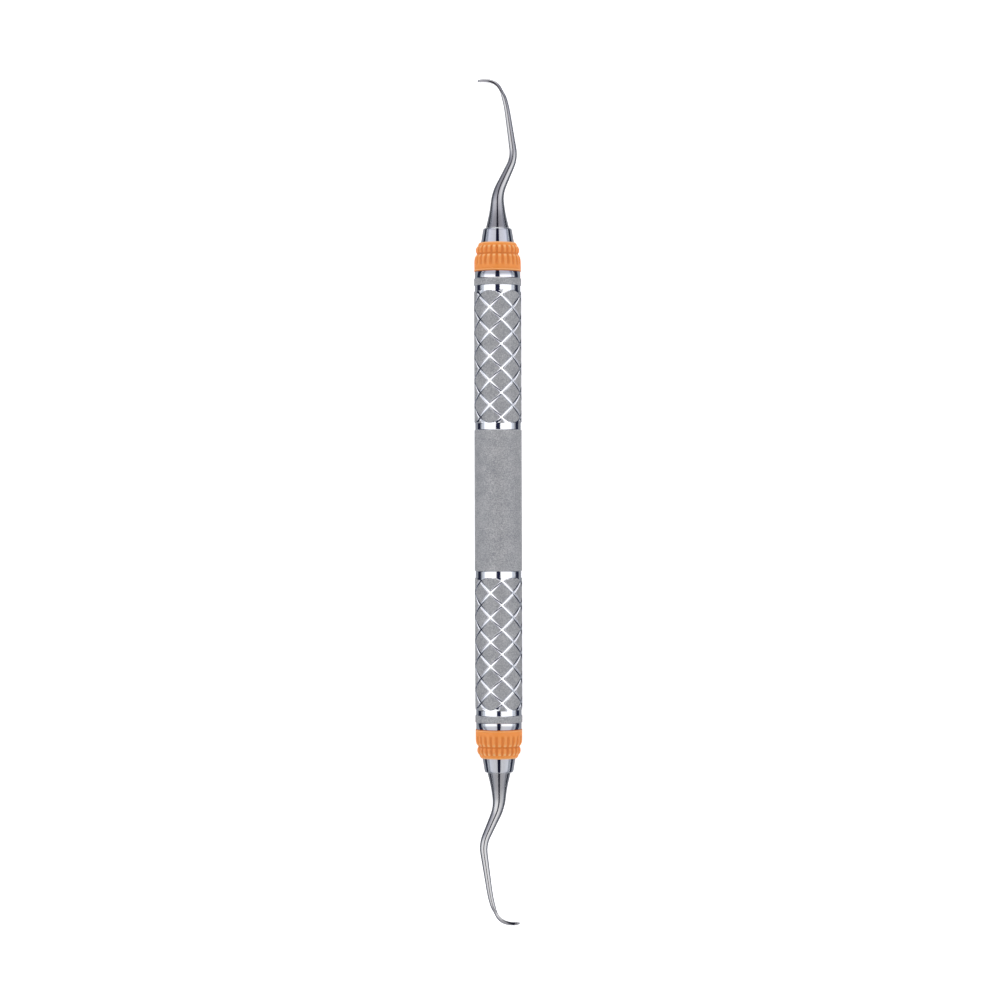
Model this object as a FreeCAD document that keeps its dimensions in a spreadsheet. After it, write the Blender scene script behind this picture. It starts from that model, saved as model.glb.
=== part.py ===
"""Double-ended hand scaler, lying on a table with its handle along +Y.

The origin is on the table, under the middle of the handle. Both ends are built from the same
pieces, and the lower end (-Y) is the upper end turned half a turn about +Z. Only the two working
tips differ: they are mirror images of each other, so one blade dips towards the table and the
other one rises from it.
"""
import FreeCAD, Part
import Sketcher
import os

# Driving dimensions in millimetres. Heights along the handle are measured from its middle.
DIMENSIONS = [
    ("axis_height", 4.75),          # handle axis above the table: the handle lies on it
    ("profile_start", 0.0),         # where a turned profile begins, in its own measure
    # Handle tube
    ("handle_radius", 4.75),
    ("bore_radius", 3.4),
    ("band_radius", 4.58),          # polished turned bands beside the knurls
    ("collar_radius", 4.58),        # polished band next to the colour ring
    ("neck_radius", 3.9),           # neck that carries the colour ring
    ("centre_band_end", 14.15),
    ("knurl_start", 15.2),
    ("knurl_end", 42.4),
    ("outer_band_end", 43.25),
    ("narrow_ring_end", 44.6),
    ("collar_end", 46.0),
    ("tube_end", 51.3),
    # Diamond knurl: grooves at 45 degrees in both hands, crossing at equal heights
    ("knurl_starts", 6),
    ("knurl_groove_width", 0.8),
    ("knurl_groove_depth", 0.2),
    ("groove_start", 14.75),
    ("groove_end", 42.65),
    ("first_crossing", 18.8),
    ("crossing_angle", -20.5),        # degrees from straight up, towards +X
    # Socket bush, from the middle of the handle outwards
    ("bush_start", 41.0),
    ("thread_radius", 2.05),
    ("counterbore_start", 47.8),
    ("counterbore_radius", 2.95),
    # Colour ring, measured from its lip
    ("lip_radius", 4.72),
    ("lip_length", 0.5),
    ("large_tier_radius", 4.69),
    ("large_rib_start", 1.4),
    ("large_rib_end", 3.3),
    ("large_groove_radius", 4.42),
    ("valley_radius", 4.23),
    ("valley_end", 3.75),
    ("small_tier_radius", 4.37),
    ("small_groove_radius", 4.1),
    ("small_rib_end", 5.15),
    ("rim_radius", 4.05),
    ("rim_end_radius", 3.7),
    ("ring_length", 5.85),
    ("rim_mouth_radius", 3.55),
    ("rib_width", 0.65),
    ("rib_count", 24),
    # Cone with its threaded stud, from the middle of the handle outwards
    ("stud_start", 42.0),
    ("stud_radius", 2.0),
    ("spigot_start", 48.0),
    ("spigot_radius", 2.9),
    ("seal_groove_start", 49.5),
    ("seal_groove_end", 50.4),
    ("seal_groove_radius", 2.2),
    ("shoulder_start", 51.32),
    ("shoulder_radius", 3.44),
    ("cone_end", 54.75),
    ("cone_end_radius", 2.85),
    ("cone_chamfer", 0.3),
    ("tang_radius", 1.5),
    ("tang_bore_start", 46.75),
    # Ring seal in the groove of the spigot
    ("seal_ring_radius", 2.57),
    ("seal_cord_radius", 0.33),
    # Working tip, measured from the face of the cone
    ("tang_length", 7.75),
    ("shank_step", 2.45),           # distance between the sections of the tapered shank
    ("first_bend_out", 7.0),
    ("second_bend_side", 3.35),
    ("second_bend_out", 14.35),
    ("second_bend_dip", 1.2),
    ("blade_bend_side", 1.5),
    ("blade_bend_out", 27.3),
    ("blade_bend_dip", 2.0),
    ("blade_middle_side", -0.9),
    ("blade_middle_out", 30.4),
    ("blade_middle_dip", 2.4),
    ("toe_side", -4.05),
    ("toe_out", 30.1),
    ("toe_dip", 2.6),
    ("tip_clocking", 1.5),            # degrees that each tip is screwed in past its mirror place
    ("shank_bend_reach", 3.9),
    ("blade_bend_reach", 8.8),
    ("blade_width", 0.9),
    ("blade_thickness", 0.78),
]

# Radii of the tapered shank at equal steps, from the face of the cone to the blade.
SHANK_RADII = [2.38, 1.76, 1.39, 1.15, 1.0, 0.91, 0.82, 0.745, 0.68, 0.63, 0.58, 0.53, 0.45]

UPPER = FreeCAD.Rotation()
LOWER = FreeCAD.Rotation(FreeCAD.Vector(0, 0, 1), 180)


def fill_sheet(doc):
    """Write the driving dimensions to the sheet, each under its own alias."""
    sheet = doc.addObject("Spreadsheet::Sheet", "dims")
    rows = list(DIMENSIONS)
    for number, radius in enumerate(SHANK_RADII):
        rows.append(("shank_radius_%d_" % number, radius))
    for row, (alias, value) in enumerate(rows, start=1):
        sheet.set("A%d" % row, alias)
        sheet.set("B%d" % row, str(value))
        sheet.setAlias("B%d" % row, alias)
    doc.recompute()
    return sheet


def value_of(sheet, text):
    """Value of an expression on the sheet's aliases, as a plain number."""
    return float(sheet.evalExpression(text))


def origin_feature(body, role):
    return next(feature for feature in body.Origin.OriginFeatures if feature.Role == role)


def draw_outline(sheet, sketch, corners):
    """Closed outline whose corners follow the sheet."""
    points = [FreeCAD.Vector(value_of(sheet, across), value_of(sheet, along), 0)
              for across, along in corners]
    count = len(points)
    for index in range(count):
        edge = Part.LineSegment(points[index], points[(index + 1) % count])
        sketch.addGeometry(edge, False)
    for index in range(count):
        following = (index + 1) % count
        sketch.addConstraint(Sketcher.Constraint("Coincident", index, 2, following, 1))
    for index, corner in enumerate(corners):
        for kind, text in zip(("DistanceX", "DistanceY"), corner):
            size = value_of(sheet, text)
            number = sketch.addConstraint(Sketcher.Constraint(kind, -1, 1, index, 1, size))
            sketch.setExpression("Constraints[%d]" % number, text)


def add_outline(sheet, body, name, corners):
    """Closed outline in the body's XY plane: X is the radius and Y runs along the handle."""
    sketch = body.newObject("Sketcher::SketchObject", name)
    sketch.AttachmentSupport = [(origin_feature(body, "XY_Plane"), "")]
    sketch.MapMode = "FlatFace"
    draw_outline(sheet, sketch, corners)
    return sketch


def add_turned_body(doc, sheet, name, corners):
    """Body turned about its Y axis from a closed outline."""
    body = doc.addObject("PartDesign::Body", name)
    sketch = add_outline(sheet, body, name + "_outline", corners)
    turned = body.newObject("PartDesign::Revolution", name + "_turned")
    turned.Profile = sketch
    turned.ReferenceAxis = (sketch, ["V_Axis"])
    turned.Angle = 360
    sketch.Visibility = False
    doc.recompute()
    return body


def place(piece, rotation, along):
    """Put a piece on the handle axis, starting `along` from the middle of the handle."""
    sign = "-" if rotation.Angle > 0 else ""
    piece.Placement = FreeCAD.Placement(FreeCAD.Vector(0, 0, 0), rotation)
    piece.setExpression("Placement.Base.y", "%s(%s)" % (sign, along))
    piece.setExpression("Placement.Base.z", "dims.axis_height")


def make_groove_profile(doc, sheet):
    """V section of a knurl groove, standing on the surface of a handle whose axis is +Z."""
    sketch = doc.addObject("Sketcher::SketchObject", "groove_profile")
    corners = [
        ("dims.handle_radius - dims.knurl_groove_depth", "dims.profile_start"),
        ("dims.handle_radius + dims.knurl_groove_depth", "sqrt(2) * dims.knurl_groove_width"),
        ("dims.handle_radius + dims.knurl_groove_depth", "-sqrt(2) * dims.knurl_groove_width"),
    ]
    draw_outline(sheet, sketch, corners)
    sketch.Placement = FreeCAD.Placement(FreeCAD.Vector(0, 0, 0),
                                         FreeCAD.Rotation(FreeCAD.Vector(1, 0, 0), 90))
    return sketch


def make_groove(doc, sheet, profile, hand, number):
    """One groove of the diamond knurl: a helix at 45 degrees that starts in the inner band."""
    spine = doc.addObject("Part::Helix", "%s_spine_%d" % (hand, number))
    spine.LocalCoord = hand.capitalize() + "-handed"
    pitch = "2 * pi * (dims.handle_radius - 0.35 * dims.knurl_groove_depth)"
    spine.setExpression("Pitch", pitch)
    spine.setExpression("Height", "dims.groove_end - dims.groove_start")
    spine.setExpression("Radius", "dims.handle_radius")
    groove = doc.addObject("Part::Sweep", "%s_groove_%d" % (hand, number))
    groove.Sections = [profile]
    groove.Spine = (spine, [])
    groove.Solid = True
    groove.Frenet = True
    turns = value_of(sheet, "dims.first_crossing - dims.groove_start") / value_of(sheet, pitch)
    lead_in = 360 * turns * (1 if hand == "right" else -1)
    spacing = 360.0 / value_of(sheet, "dims.knurl_starts")
    angle = value_of(sheet, "dims.crossing_angle") - lead_in + spacing * number
    along_handle = FreeCAD.Rotation(FreeCAD.Vector(1, 0, 0), -90)
    about_axis = FreeCAD.Rotation(FreeCAD.Vector(0, 0, 1), angle - 90)
    groove.Placement = FreeCAD.Placement(FreeCAD.Vector(0, 0, 0), along_handle * about_axis)
    groove.setExpression("Placement.Base.y", "dims.groove_start")
    return groove


def cut_knurl(doc, sheet, half):
    """Cut the right-hand and the left-hand grooves, one after another, out of the half handle."""
    profile = make_groove_profile(doc, sheet)
    knurled = half
    for number in range(int(value_of(sheet, "dims.knurl_starts"))):
        for hand in ("right", "left"):
            groove = make_groove(doc, sheet, profile, hand, number)
            cut = doc.addObject("Part::Cut", "%s_cut_%d" % (hand, number))
            cut.Base = knurled
            cut.Tool = groove
            cut.Refine = False
            doc.recompute()
            removed = knurled.Shape.Volume - cut.Shape.Volume
            if not cut.Shape.isValid() or not 1 < removed < groove.Shape.Volume / 2:
                raise RuntimeError("%s removed %.2f cubic mm" % (cut.Name, removed))
            knurled = cut
    return knurled


def make_handle_tube(doc, sheet):
    """Hollow handle: one half is turned and knurled, and the other half is its mirror image."""
    corners = [
        ("dims.bore_radius", "dims.profile_start"),
        ("dims.handle_radius", "dims.profile_start"),
        ("dims.handle_radius", "dims.centre_band_end"),
        ("dims.band_radius", "dims.centre_band_end"),
        ("dims.band_radius", "dims.knurl_start"),
        ("dims.handle_radius", "dims.knurl_start"),
        ("dims.handle_radius", "dims.knurl_end"),
        ("dims.band_radius", "dims.knurl_end"),
        ("dims.band_radius", "dims.outer_band_end"),
        ("dims.handle_radius", "dims.outer_band_end"),
        ("dims.handle_radius", "dims.narrow_ring_end"),
        ("dims.collar_radius", "dims.narrow_ring_end"),
        ("dims.collar_radius", "dims.collar_end"),
        ("dims.neck_radius", "dims.collar_end"),
        ("dims.neck_radius", "dims.tube_end"),
        ("dims.bore_radius", "dims.tube_end"),
    ]
    half = add_turned_body(doc, sheet, "handle_half", corners)
    knurled = cut_knurl(doc, sheet, half)
    mirrored = doc.addObject("Part::Mirroring", "other_half")
    mirrored.Source = knurled
    mirrored.Normal = FreeCAD.Vector(0, 1, 0)
    tube = doc.addObject("Part::MultiFuse", "handle_tube")
    tube.Shapes = [knurled, mirrored]
    tube.Refine = False
    place(tube, UPPER, "dims.profile_start")
    return tube


def make_socket_bush(doc, sheet, end, rotation):
    """Bush pressed in the end of the tube: plain minor-diameter bore and a counterbore."""
    start = "dims.bush_start"
    corners = [
        ("dims.thread_radius", "dims.profile_start"),
        ("dims.bore_radius", "dims.profile_start"),
        ("dims.bore_radius", "dims.tube_end - " + start),
        ("dims.counterbore_radius", "dims.tube_end - " + start),
        ("dims.counterbore_radius", "dims.counterbore_start - " + start),
        ("dims.thread_radius", "dims.counterbore_start - " + start),
    ]
    body = add_turned_body(doc, sheet, end + "_socket_bush", corners)
    place(body, rotation, start)
    return body


def add_ribs(doc, sheet, body, name, inner, outer, start, end):
    """One rib padded across the XY plane, repeated round the ring."""
    corners = [(inner, start), (outer, start), (outer, end), (inner, end)]
    sketch = add_outline(sheet, body, name + "_outline", corners)
    rib = body.newObject("PartDesign::Pad", name)
    rib.Profile = sketch
    rib.SideType = "Symmetric"
    rib.setExpression("Length", "dims.rib_width")
    sketch.Visibility = False
    doc.recompute()
    pattern = body.newObject("PartDesign::PolarPattern", name + "_round")
    pattern.Originals = [rib]
    pattern.Axis = (origin_feature(body, "Y_Axis"), [""])
    pattern.Angle = 360
    pattern.Occurrences = int(value_of(sheet, "dims.rib_count"))
    body.Tip = pattern
    doc.recompute()


def make_colour_ring(doc, sheet, end, rotation):
    """Moulded ring in two ribbed tiers, with a lip beside the handle and a rim at the cone."""
    neck_length = "dims.tube_end - dims.collar_end"
    corners = [
        ("dims.neck_radius", "dims.profile_start"),
        ("dims.lip_radius", "dims.profile_start"),
        ("dims.lip_radius", "dims.lip_length"),
        ("dims.large_tier_radius", "dims.lip_length"),
        ("dims.large_tier_radius", "dims.large_rib_start"),
        ("dims.large_groove_radius", "dims.large_rib_start"),
        ("dims.large_groove_radius", "dims.large_rib_end"),
        ("dims.valley_radius", "dims.large_rib_end"),
        ("dims.valley_radius", "dims.valley_end"),
        ("dims.small_groove_radius", "dims.valley_end"),
        ("dims.small_groove_radius", "dims.small_rib_end"),
        ("dims.rim_radius", "dims.small_rib_end"),
        ("dims.rim_end_radius", "dims.ring_length"),
        ("dims.rim_mouth_radius", "dims.ring_length"),
        ("dims.rim_mouth_radius", neck_length),
        ("dims.neck_radius", neck_length),
    ]
    body = add_turned_body(doc, sheet, end + "_colour_ring", corners)
    add_ribs(doc, sheet, body, end + "_large_rib", "dims.valley_radius - dims.rib_width / 4",
             "dims.large_tier_radius", "dims.large_rib_start", "dims.large_rib_end")
    add_ribs(doc, sheet, body, end + "_small_rib", "dims.small_groove_radius - dims.rib_width / 4",
             "dims.small_tier_radius", "dims.valley_end", "dims.small_rib_end")
    place(body, rotation, "dims.collar_end")
    return body


def make_cone(doc, sheet, end, rotation):
    """Polished cone with a stud, a spigot with the seal's groove, and a bore for the tang."""
    start = "dims.stud_start"
    corners = [
        ("dims.profile_start", "dims.profile_start"),
        ("dims.stud_radius", "dims.profile_start"),
        ("dims.stud_radius", "dims.spigot_start - " + start),
        ("dims.spigot_radius", "dims.spigot_start - " + start),
        ("dims.spigot_radius", "dims.seal_groove_start - " + start),
        ("dims.seal_groove_radius", "dims.seal_groove_start - " + start),
        ("dims.seal_groove_radius", "dims.seal_groove_end - " + start),
        ("dims.spigot_radius", "dims.seal_groove_end - " + start),
        ("dims.spigot_radius", "dims.shoulder_start - " + start),
        ("dims.shoulder_radius", "dims.shoulder_start - " + start),
        ("dims.cone_end_radius", "dims.cone_end - dims.cone_chamfer - " + start),
        ("dims.cone_end_radius - dims.cone_chamfer", "dims.cone_end - " + start),
        ("dims.tang_radius", "dims.cone_end - " + start),
        ("dims.tang_radius", "dims.tang_bore_start - " + start),
        ("dims.profile_start", "dims.tang_bore_start - " + start),
    ]
    body = add_turned_body(doc, sheet, end + "_cone", corners)
    place(body, rotation, start)
    return body


def make_seal(doc, end, rotation):
    """Ring seal round the spigot, between its groove and the counterbore."""
    seal = doc.addObject("Part::Torus", end + "_seal")
    seal.setExpression("Radius1", "dims.seal_ring_radius")
    seal.setExpression("Radius2", "dims.seal_cord_radius")
    middle = "(dims.seal_groove_start + dims.seal_groove_end) / 2"
    upright = FreeCAD.Rotation(FreeCAD.Vector(1, 0, 0), 90)
    sign = "-" if rotation.Angle > 0 else ""
    seal.Placement = FreeCAD.Placement(FreeCAD.Vector(0, 0, 0), upright)
    seal.setExpression("Placement.Base.y", "%s(%s)" % (sign, middle))
    seal.setExpression("Placement.Base.z", "dims.axis_height")
    return seal


def tip_corners(sheet, depth_sign):
    """Corners of the shank's centreline from the cone's face: side (X), out (Y), height (Z)."""
    corners = [FreeCAD.Vector(0, 0, 0), FreeCAD.Vector(0, value_of(sheet, "dims.first_bend_out"), 0)]
    for name in ("second_bend", "blade_bend", "blade_middle", "toe"):
        side = value_of(sheet, "dims.%s_side" % name)
        out = value_of(sheet, "dims.%s_out" % name)
        dip = value_of(sheet, "dims.%s_dip" % name)
        corners.append(FreeCAD.Vector(side, out, -dip * depth_sign))
    return corners


def centreline(sheet, corners):
    """Smooth curve: straight runs with rounded bends, then one long bend through the blade."""
    start, first, second, blade_bend, blade_middle, toe = corners
    shank_reach = value_of(sheet, "dims.shank_bend_reach")
    blade_reach = value_of(sheet, "dims.blade_bend_reach")
    poles = [start]
    for before, corner, after in ((start, first, second), (first, second, blade_bend)):
        poles.append(corner - (corner - before).normalize() * shank_reach)
        poles.append(corner)
        poles.append(corner + (after - corner).normalize() * shank_reach)
    poles.append(blade_bend - (blade_bend - second).normalize() * blade_reach)
    poles += [blade_bend, blade_middle, toe]
    degree = 2
    inner_knots = len(poles) - degree - 1
    mults = [degree + 1] + [1] * inner_knots + [degree + 1]
    curve = Part.BSplineCurve()
    curve.buildFromPolesMultsKnots(poles, mults, list(range(inner_knots + 2)), False, degree)
    return curve


def section_placement(point, normal, across, tang_length):
    """Placement whose Z axis is `normal` and whose X axis lies along `across`."""
    rotation = FreeCAD.Rotation(across, FreeCAD.Vector(), normal, "ZXY")
    return FreeCAD.Placement(point + FreeCAD.Vector(0, tang_length, 0), rotation)


def make_shank(doc, sheet, end, curve, tang_length):
    """Round tapered shank, lofted through circles square to the centreline."""
    sections = []
    step = value_of(sheet, "dims.shank_step")
    for number in range(len(SHANK_RADII)):
        parameter = curve.parameterAtDistance(number * step, curve.FirstParameter)
        circle = doc.addObject("Part::Circle", "%s_section_%d" % (end, number))
        circle.setExpression("Radius", "dims.shank_radius_%d_" % number)
        tangent = FreeCAD.Vector(*curve.tangent(parameter)[0])
        across = FreeCAD.Vector(1, 0, 0)
        circle.Placement = section_placement(curve.value(parameter), tangent, across, tang_length)
        sections.append(circle)
    shank = doc.addObject("Part::Loft", end + "_shank")
    shank.Sections = sections
    shank.Solid = True
    return shank


def add_blade_section(doc, sheet, name, scale):
    """Half-round section: a flat face of the blade's width with a rounded back below it."""
    sketch = doc.addObject("Sketcher::SketchObject", name)
    width = value_of(sheet, "dims.blade_width") * scale
    depth = value_of(sheet, "dims.blade_thickness") * scale
    left = FreeCAD.Vector(-width / 2, 0, 0)
    right = FreeCAD.Vector(width / 2, 0, 0)
    back = FreeCAD.Vector(0, -depth, 0)
    face = sketch.addGeometry(Part.LineSegment(left, right), False)
    arc = sketch.addGeometry(Part.Arc(right, back, left), False)
    start, finish = sketch.getPoint(arc, 1), sketch.getPoint(arc, 2)
    near = 1 if (start - left).Length < (finish - left).Length else 2
    sketch.addConstraint(Sketcher.Constraint("Coincident", face, 1, arc, near))
    sketch.addConstraint(Sketcher.Constraint("Coincident", face, 2, arc, 3 - near))
    sketch.addConstraint(Sketcher.Constraint("Symmetric", face, 1, face, 2, -1, 1))
    sketch.addConstraint(Sketcher.Constraint("Horizontal", face))
    number = sketch.addConstraint(Sketcher.Constraint("Distance", face, width))
    sketch.setExpression("Constraints[%d]" % number, "dims.blade_width * %g" % scale)
    number = sketch.addConstraint(Sketcher.Constraint("Radius", arc,
                                                      (width ** 2 / 4 + depth ** 2) / (2 * depth)))
    radius = "(dims.blade_width ^ 2 / 4 + dims.blade_thickness ^ 2) / (2 * dims.blade_thickness)"
    sketch.setExpression("Constraints[%d]" % number, "%s * %g" % (radius, scale))
    return sketch


def make_blade(doc, sheet, end, curve, corners, tang_length):
    """Half-round blade round the last bend, with its flat face turned back to the handle."""
    shank_direction = (corners[3] - corners[2]).normalize()
    blade_direction = (corners[5] - corners[3]).normalize()
    across = blade_direction.cross(shank_direction).normalize()
    middle = value_of(sheet, "dims.blade_thickness") * 0.45
    blade_stations = [(6.4, 0.78), (5.1, 0.9), (3.8, 1.0), (2.5, 0.98), (1.2, 0.92), (0.0, 0.62)]
    sections = []
    for number, (from_toe, scale) in enumerate(blade_stations):
        parameter = curve.parameterAtDistance(curve.length() - from_toe, curve.FirstParameter)
        tangent = FreeCAD.Vector(*curve.tangent(parameter)[0])
        raised = curve.value(parameter) + tangent.cross(across) * middle
        sketch = add_blade_section(doc, sheet, "%s_blade_section_%d" % (end, number), scale)
        sketch.Placement = section_placement(raised, tangent, across, tang_length)
        sections.append(sketch)
    blade = doc.addObject("Part::Loft", end + "_blade")
    blade.Sections = sections
    blade.Solid = True
    return blade


def make_tip(doc, sheet, end, rotation, depth_sign):
    """Working end in one forged piece: tang, bent tapered shank and half-round blade."""
    tang_length = value_of(sheet, "dims.tang_length")
    corners = tip_corners(sheet, depth_sign)
    curve = centreline(sheet, corners)
    tang = doc.addObject("Part::Cylinder", end + "_tang")
    tang.setExpression("Radius", "dims.tang_radius")
    tang.setExpression("Height", "dims.tang_length")
    tang.Placement = FreeCAD.Placement(FreeCAD.Vector(0, 0, 0),
                                       FreeCAD.Rotation(FreeCAD.Vector(1, 0, 0), -90))
    shank = make_shank(doc, sheet, end, curve, tang_length)
    blade = make_blade(doc, sheet, end, curve, corners, tang_length)
    tip = doc.addObject("Part::MultiFuse", end + "_tip")
    tip.Shapes = [tang, shank, blade]
    place(tip, rotation, "dims.cone_end - dims.tang_length")
    clocking = FreeCAD.Rotation(FreeCAD.Vector(0, -1, 0), value_of(sheet, "dims.tip_clocking"))
    tip.Placement.Rotation = rotation * clocking
    return tip


def check_and_export(doc, pieces):
    """Stop on any failed object or bad solid, then write one STEP file for each piece."""
    doc.recompute()
    for item in doc.Objects:
        failed = [state for state in item.State if state in ("Invalid", "Error")]
        if failed:
            raise RuntimeError("%s is %s" % (item.Name, failed))
    for piece in pieces:
        shape = piece.Shape
        if shape.isNull() or not shape.isValid() or len(shape.Solids) != 1:
            raise RuntimeError("%s has no single valid solid" % piece.Label)
    os.makedirs("parts", exist_ok=True)
    for piece in pieces:
        piece.Shape.exportStep("parts/%s.step" % piece.Label)
        box = piece.Shape.BoundBox
        print("%-20s volume %8.2f  Y %8.3f to %8.3f  Z %7.3f to %7.3f" % (
            piece.Label, piece.Shape.Volume, box.YMin, box.YMax, box.ZMin, box.ZMax))


def main():
    doc = FreeCAD.newDocument("hand_scaler")
    sheet = fill_sheet(doc)
    pieces = [make_handle_tube(doc, sheet)]
    for end, rotation, depth_sign in (("upper", UPPER, 1), ("lower", LOWER, -1)):
        pieces.append(make_socket_bush(doc, sheet, end, rotation))
        pieces.append(make_colour_ring(doc, sheet, end, rotation))
        pieces.append(make_cone(doc, sheet, end, rotation))
        pieces.append(make_seal(doc, end, rotation))
        pieces.append(make_tip(doc, sheet, end, rotation, depth_sign))
    check_and_export(doc, pieces)


main()
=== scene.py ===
"""Double-ended hand scaler: knurled handle, ribbed colour rings, polished cones and bent tips.

Everything is in metres in the CAD frame: the instrument lies along +Y on the floor at z = 0.
"""
import math

import bmesh
import bpy
import numpy as np
from mathutils import Euler, Matrix, Vector


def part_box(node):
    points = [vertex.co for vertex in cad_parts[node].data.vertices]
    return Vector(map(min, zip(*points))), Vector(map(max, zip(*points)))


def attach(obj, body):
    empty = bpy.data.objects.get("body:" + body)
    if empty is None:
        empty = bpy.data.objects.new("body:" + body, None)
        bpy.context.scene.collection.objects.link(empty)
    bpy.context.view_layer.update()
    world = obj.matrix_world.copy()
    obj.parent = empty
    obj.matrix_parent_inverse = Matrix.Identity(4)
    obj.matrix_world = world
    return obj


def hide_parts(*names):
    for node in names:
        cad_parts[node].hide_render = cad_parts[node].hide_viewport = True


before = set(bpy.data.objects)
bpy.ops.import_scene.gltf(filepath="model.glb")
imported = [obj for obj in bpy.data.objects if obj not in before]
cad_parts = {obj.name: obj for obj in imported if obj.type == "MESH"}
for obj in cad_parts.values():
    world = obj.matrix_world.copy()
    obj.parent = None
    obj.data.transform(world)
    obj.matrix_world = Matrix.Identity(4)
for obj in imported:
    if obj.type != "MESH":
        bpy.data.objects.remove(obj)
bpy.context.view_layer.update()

MM = 0.001

# ---------------------------------------------------------------- places read from the frame
tube_low, tube_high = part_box("handle_tube")
ring_low, ring_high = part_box("upper_colour_ring")
cone_low, cone_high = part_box("upper_cone")
HANDLE_RADIUS = (tube_high.x - tube_low.x) / 2
AXIS_HEIGHT = (tube_high.z + tube_low.z) / 2
TUBE_END = tube_high.y
COLLAR_END = ring_low.y
RING_LENGTH = ring_high.y - ring_low.y
CONE_END = cone_high.y
STUD_START = cone_low.y

# ---------------------------------------------------------------- handle, from its middle
GROOVE_DEPTH = 0.17 * MM                    # depth of the knurl grooves and the turned bands
BAND_RADIUS = HANDLE_RADIUS - GROOVE_DEPTH  # polished turned bands and knurl groove floors
NECK_RADIUS = 3.9 * MM
BORE_RADIUS = 3.4 * MM
CENTRE_BAND_END = 14.15 * MM
KNURL_START = 15.2 * MM
KNURL_END = 42.4 * MM
OUTER_BAND_END = 43.25 * MM
NARROW_RING_END = 44.6 * MM
EDGE = 0.05 * MM                            # softened edges of the turned steps

# ---------------------------------------------------------------- diamond knurl
STARTS = 6
GROOVE_FLOOR = 0.22 * MM                    # half width of the flat floor, square to the groove
GROOVE_TOP = 0.35 * MM                      # half width at the surface
RUN_OUT = 2.05 * MM                         # radius of the arcs where grooves leave the knurl
RUN_OUT_EDGE = 0.28 * MM                    # distance of those arcs from the end of the knurl
FIRST_CROSSING = {"upper": 19.1 * MM, "lower": 18.5 * MM}
CROSSING_ANGLE = math.radians(-20.5)        # from straight up, towards +X


def smooth(low, high, value):
    """Smooth step from 0 at `low` to 1 at `high`."""
    share = np.clip((value - low) / (high - low), 0, 1)
    return share * share * (3 - 2 * share)


# ================================================================ materials
GRAIN_SHARE = 0.8                           # of the grains in the tone of satin steel
MOTTLE_SHARE = 0.12                         # of the mottling in the tone of the orange plastic


def new_material(name, metallic, roughness, colour):
    """Material and its shader, with one colour until nodes are linked to it."""
    material = bpy.data.materials.new(name)
    material.use_nodes = True
    shader = material.node_tree.nodes["Principled BSDF"]
    shader.inputs["Metallic"].default_value = metallic
    shader.inputs["Roughness"].default_value = roughness
    shader.inputs["Base Color"].default_value = (*colour, 1)
    return material, shader


def add_node(owner, kind, **settings):
    """New node in the tree of a material or world, with its settings."""
    node = owner.node_tree.nodes.new(kind)
    for name, value in settings.items():
        setattr(node, name, value)
    return node


def link(owner, source, target):
    owner.node_tree.links.new(source, target)


def stretched_coordinates(material, scale):
    """Object coordinates, stretched along one axis to draw lines instead of grains."""
    place = add_node(material, "ShaderNodeTexCoord")
    stretch = add_node(material, "ShaderNodeMapping")
    stretch.inputs["Scale"].default_value = scale
    link(material, place.outputs["Object"], stretch.inputs["Vector"])
    return stretch.outputs["Vector"]


def add_noise(material, vector, scale, detail=4.0, roughness=0.55):
    noise = add_node(material, "ShaderNodeTexNoise")
    noise.inputs["Scale"].default_value = scale
    noise.inputs["Detail"].default_value = detail
    noise.inputs["Roughness"].default_value = roughness
    link(material, vector, noise.inputs["Vector"])
    return noise.outputs["Fac"]


def add_ramp(owner, factor, stops):
    """Colour ramp from (position, colour) stops."""
    ramp = add_node(owner, "ShaderNodeValToRGB")
    elements = ramp.color_ramp.elements
    while len(elements) < len(stops):
        elements.new(0.5)
    for element, (position, colour) in zip(elements, stops):
        element.position = position
        element.color = (*colour, 1)
    link(owner, factor, ramp.inputs["Fac"])
    return ramp.outputs["Color"]


def add_range(material, factor, low, high):
    """Map 0..1 to low..high."""
    mapped = add_node(material, "ShaderNodeMapRange")
    mapped.inputs["To Min"].default_value = low
    mapped.inputs["To Max"].default_value = high
    link(material, factor, mapped.inputs["Value"])
    return mapped.outputs["Result"]


def add_bump(material, shader, height, strength, distance):
    bump = add_node(material, "ShaderNodeBump")
    bump.inputs["Strength"].default_value = strength
    bump.inputs["Distance"].default_value = distance
    link(material, height, bump.inputs["Height"])
    link(material, bump.outputs["Normal"], shader.inputs["Normal"])


def satin_steel(name, grain, depth, dark, light):
    """Blasted steel: fine grains with faint clouding."""
    material, shader = new_material(name, 0.35, 0.65, light)
    vector = stretched_coordinates(material, (1, 1, 1))
    grains = add_noise(material, vector, scale=grain, detail=3.0, roughness=0.6)
    clouds = add_noise(material, vector, scale=grain / 9, detail=2.0)
    tone = add_node(material, "ShaderNodeMath", operation="MULTIPLY_ADD")
    link(material, grains, tone.inputs[0])
    tone.inputs[1].default_value = GRAIN_SHARE
    link(material, add_range(material, clouds, 0.0, 0.2), tone.inputs[2])
    colour = add_ramp(material, tone.outputs[0], [(0.4, dark), (0.72, light)])
    link(material, colour, shader.inputs["Base Color"])
    link(material, add_range(material, grains, 0.55, 0.75), shader.inputs["Roughness"])
    add_bump(material, shader, grains, strength=0.6, distance=depth)
    return material


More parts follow.
